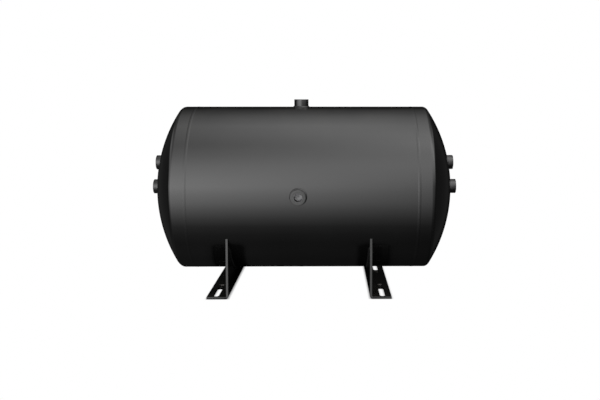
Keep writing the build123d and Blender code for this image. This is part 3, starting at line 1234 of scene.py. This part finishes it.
def dust_effect():
    """Dust that settles in patches on whatever faces up."""
    numbers = {"Amount": 0.2, "Roughness": 0.1}
    colors = {"Color": (0.0, 0.0, 0.0), "Dust": (0.11, 0.105, 0.095)}
    effect = Effect("Settled dust", numbers, colors, ("Color", "Roughness"))
    tree = effect.tree
    where = effect.given("Vector")
    upwards = stretched(facing(tree, "Z"), 0.35, 1.0)
    patches = stretched(noise(tree, where, scale=11.0, detail=5.0), 0.35, 0.75)
    grains = stretched(noise(tree, where, scale=900.0, detail=1.0), 0.45, 0.75)
    mask = upwards * (patches + grains * 0.5) * effect.given("Amount")
    effect.give("Color", blended(tree, mask, effect.given("Color"), effect.given("Dust")))
    effect.give("Roughness", effect.given("Roughness") + mask * 0.5)
    return effect


def worn_edge_effect():
    """Mask of the edges where the finish is rubbed thin, broken up by small chips."""
    numbers = {"Reach": 0.0012, "Amount": 0.5, "Chip Scale": 260.0}
    effect = Effect("Worn edge", numbers, {}, ("Mask",))
    tree = effect.tree
    where = effect.given("Vector")
    round_off = node_of(tree, "ShaderNodeBevel", Radius=effect.given("Reach"))
    round_off.samples = 4
    geometry = tree.nodes.new("ShaderNodeNewGeometry")
    compare = tree.nodes.new("ShaderNodeVectorMath")
    compare.operation = "DOT_PRODUCT"
    tree.links.new(round_off.outputs["Normal"], compare.inputs[0])
    tree.links.new(geometry.outputs["Normal"], compare.inputs[1])
    edge = stretched(1.0 - Reading(tree, compare.outputs["Value"]), 0.01, 0.1)
    chips = stretched(noise(tree, where, effect.given("Chip Scale"), 3.0), 0.42, 0.62)
    stretches = stretched(noise(tree, where, effect.given("Chip Scale") / 12.0, 1.0), 0.35, 0.65)
    effect.give("Mask", edge * chips * stretches * effect.given("Amount"))
    return effect


def turning_effect():
    """Rings that a lathe tool leaves about the Z axis, on faces and round sides."""
    effect = Effect("Turning marks", {"Feed": 0.0003}, {}, ("Height", "Mask"))
    tree = effect.tree
    parts = tree.nodes.new("ShaderNodeSeparateXYZ")
    feed(tree, parts.inputs[0], effect.given("Vector"))
    x = Reading(tree, parts.outputs["X"])
    y = Reading(tree, parts.outputs["Y"])
    z = Reading(tree, parts.outputs["Z"])
    travel = root(x * x + y * y) + z
    ring = sine(travel / effect.given("Feed") * (2 * pi)) * 0.5 + 0.5
    uneven = tree.nodes.new("ShaderNodeTexNoise")
    uneven.noise_dimensions = "1D"
    feed(tree, uneven.inputs["W"], travel)
    feed(tree, uneven.inputs["Scale"], 1.0 / 0.0011)
    slow = Reading(tree, uneven.outputs[0])
    effect.give("Height", ring * 0.4 + slow)
    effect.give("Mask", slow)
    return effect


paint_film = paint_film_effect()
settled_dust = dust_effect()
worn_edge = worn_edge_effect()
turning_marks = turning_effect()
# colour of bare steel: worn edges show it, and on a foot's hole walls it is painted light
bare_steel_and_painted_light = (0.10, 0.095, 0.09)


def new_finish(name, metallic=0.0):
    material = bpy.data.materials.new(name)
    material.use_nodes = True
    shader = material.node_tree.nodes["Principled BSDF"]
    shader.inputs["Metallic"].default_value = metallic
    return material, material.node_tree, shader


def own_place(tree):
    """The surface's own coordinates, which stay with the piece when it moves."""
    return Reading(tree, tree.nodes.new("ShaderNodeTexCoord").outputs["Object"])


def turned_place(tree, place):
    """Own coordinates, turned and centred so that Z is the axis of a round piece."""
    inverse = place.inverted()
    mapping = tree.nodes.new("ShaderNodeMapping")
    feed(tree, mapping.inputs["Vector"], own_place(tree))
    mapping.inputs["Location"].default_value = inverse.to_translation()
    mapping.inputs["Rotation"].default_value = inverse.to_euler("XYZ")
    return Reading(tree, mapping.outputs[0])


def dress(tree, shader, color, roughness, height, depth):
    """Joins colour, roughness and relief to the shader; depth is the relief's, in metres."""
    feed(tree, shader.inputs["Base Color"], color)
    feed(tree, shader.inputs["Roughness"], roughness)
    relief = node_of(tree, "ShaderNodeBump", Height=height, Distance=depth)
    tree.links.new(relief.outputs["Normal"], shader.inputs["Normal"])


def vessel_paint():
    material, tree, shader = new_finish("vessel_paint")
    where = own_place(tree)
    film = paint_film.put(tree, where)
    dust = settled_dust.put(tree, where, Amount=0.06, Color=film["Color"], Roughness=film["Roughness"])
    dress(tree, shader, dust["Color"], dust["Roughness"], film["Height"], 0.000005)
    return material


def weld_paint():
    """Paint over a weld, with slag scale and spatter under it."""
    material, tree, shader = new_finish("weld_paint")
    where = own_place(tree)
    film = paint_film.put(tree, where, Peel_Scale=700.0, Glossy=0.1, Dull=0.24)
    dust = settled_dust.put(tree, where, Amount=0.05, Color=film["Color"], Roughness=film["Roughness"])
    scale = noise(tree, where, scale=1600.0, detail=3.0)
    spatter = stretched(noise(tree, where, scale=520.0, detail=0.0), 0.68, 0.8)
    height = film["Height"] + scale * 2.0 + spatter * 6.0
    dress(tree, shader, dust["Color"], dust["Roughness"], height, 0.000012)
    return material


def hole_wall_painted_light(tree, where):
    """1 on the walls of a foot's round holes; the colour put there is painted light, standing in for
    the light that the holes' far walls catch.
    """
    parts = tree.nodes.new("ShaderNodeSeparateXYZ")
    feed(tree, parts.inputs[0], where)
    hole_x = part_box("right_foot")[0].x + hole_gauge
    lengthwise = Reading(tree, parts.outputs["X"]).reckon("ABSOLUTE") - hole_x
    sideways = Reading(tree, parts.outputs["Y"]).reckon("ABSOLUTE") - round_hole_spacing / 2
    reach = root(lengthwise * lengthwise + sideways * sideways)
    return 1.0 - stretched(reach, round_hole_radius + 0.0001, round_hole_radius + 0.0004)


def foot_paint():
    """Paint on bent plate: a rolled grain under it, chipped a little along the edges, and lighter hole
    walls as painted light.
    """
    material, tree, shader = new_finish("foot_paint")
    where = own_place(tree)
    film = paint_film.put(tree, where, Peel_Scale=520.0, Glossy=0.07, Dull=0.15)
    worn = worn_edge.put(tree, where, Reach=0.0011, Amount=0.45)["Mask"]
    # edges get the bare-steel colour as wear; the hole walls get it as painted light
    wear_and_painted_light = worn.reckon("MAXIMUM", hole_wall_painted_light(tree, where))
    color = blended(tree, wear_and_painted_light, film["Color"], bare_steel_and_painted_light)
    dust = settled_dust.put(tree, where, Amount=0.12, Color=color, Roughness=film["Roughness"])
    grain = tree.nodes.new("ShaderNodeMapping")
    feed(tree, grain.inputs["Vector"], where)
    grain.inputs["Scale"].default_value = (1.0, 0.12, 1.0)
    rolled = noise(tree, Reading(tree, grain.outputs[0]), scale=240.0, detail=2.0)
    height = film["Height"] + rolled * 2.0 - worn * 2.0
    dress(tree, shader, dust["Color"], dust["Roughness"] + worn * 0.3, height, 0.000005)
    return material


def boss_paint(name, place):
    """Thin paint over a turned boss, rubbed on its rim where fittings are screwed in."""
    material, tree, shader = new_finish(name)
    where = turned_place(tree, place)
    thin = (0.006, 0.006, 0.006)
    film = paint_film.put(tree, where, Peel_Scale=900.0, Glossy=0.08, Dull=0.16, Thin=thin)
    rings = turning_marks.put(tree, where)
    worn = worn_edge.put(tree, where, Reach=0.0007, Amount=0.5, Chip_Scale=420.0)["Mask"]
    color = blended(tree, worn, film["Color"], bare_steel_and_painted_light)
    dust = settled_dust.put(tree, where, Amount=0.08, Color=color, Roughness=film["Roughness"])
    roughness = dust["Roughness"] + worn * 0.25 + rings["Mask"] * 0.06
    dress(tree, shader, dust["Color"], roughness, film["Height"] * 0.6 + rings["Height"], 0.000006)
    return material


def zinc_plate(place):
    """Bright zinc: a faint straw and blue cast that drifts, turning marks, and dulled edges."""
    material, tree, shader = new_finish("zinc_plate", metallic=1.0)
    where = turned_place(tree, place)
    cast = stretched(noise(tree, where, scale=90.0, detail=2.0), 0.3, 0.7)
    color = blended(tree, cast, (0.56, 0.57, 0.60), (0.60, 0.57, 0.48))
    worn = worn_edge.put(tree, where, Reach=0.0006, Amount=0.8, Chip_Scale=500.0)["Mask"]
    bloom = stretched(noise(tree, where, scale=340.0, detail=4.0), 0.5, 0.75)
    color = blended(tree, worn, color, (0.34, 0.33, 0.31))
    color = blended(tree, bloom * 0.4, color, (0.42, 0.42, 0.41))
    rings = turning_marks.put(tree, where, Feed=0.0002)
    roughness = rings["Mask"] * 0.12 + bloom * 0.15 + 0.22
    dress(tree, shader, color, roughness, rings["Height"] + bloom * 0.6, 0.000008)
    return material


def seal_rubber():
    """Moulded rubber: fine matt grain with a little bloom."""
    material, tree, shader = new_finish("seal_rubber")
    where = own_place(tree)
    grain = noise(tree, where, scale=3200.0, detail=3.0)
    bloom = stretched(noise(tree, where, scale=260.0, detail=3.0), 0.4, 0.8)
    color = blended(tree, bloom, (0.012, 0.012, 0.012), (0.035, 0.035, 0.034))
    dress(tree, shader, color, grain * 0.15 + 0.5, grain, 0.00002)
    return material


def cap_plastic(place):
    """Moulded polyethylene cap: its matt near-black wall is painted shade in the recess, and its grey
    floor and greyed lip are painted light.
    """
    material, tree, shader = new_finish("cap_plastic")
    where = turned_place(tree, place)
    parts = tree.nodes.new("ShaderNodeSeparateXYZ")
    feed(tree, parts.inputs[0], where)
    depth = Reading(tree, parts.outputs["Z"]) * -1.0
    floor = stretched(depth, 0.0188, 0.0196)
    lip = 1.0 - stretched(depth, 0.0, 0.0006)
    mottle = noise(tree, where, scale=500.0, detail=3.0)
    # painted light: a grey floor and lip stand in for the light that the cup's floor catches
    painted_light_grey = blended(tree, mottle, (0.32, 0.32, 0.325), (0.46, 0.46, 0.465))
    painted_light_mask = floor.reckon("MAXIMUM", lip * 0.14)
    # near black where the mask is 0: painted shade on the cup's wall inside the recess
    color = blended(tree, painted_light_mask, (0.002, 0.002, 0.002), painted_light_grey)
    grain = noise(tree, where, scale=2600.0, detail=2.0)
    roughness = mottle * 0.1 + floor * -0.2 + 0.6
    shader.inputs["Specular IOR Level"].default_value = 0.15
    dress(tree, shader, color, roughness, grain + mottle, 0.00001)
    return material


add_camera()
add_world()
add_floor()
bpy.context.scene.view_settings.view_transform = "Standard"
vessel_finish = vessel_paint()
weld_finish = weld_paint()
make_shell(vessel_finish)
make_heads(vessel_finish)
make_boss_welds(weld_finish)
make_foot_welds(weld_finish)
make_girth_welds(weld_finish)
make_seam(weld_finish)
make_bosses()
make_drain_boss()
make_drain_screw()
make_washer()
make_cup()
make_feet(foot_paint())
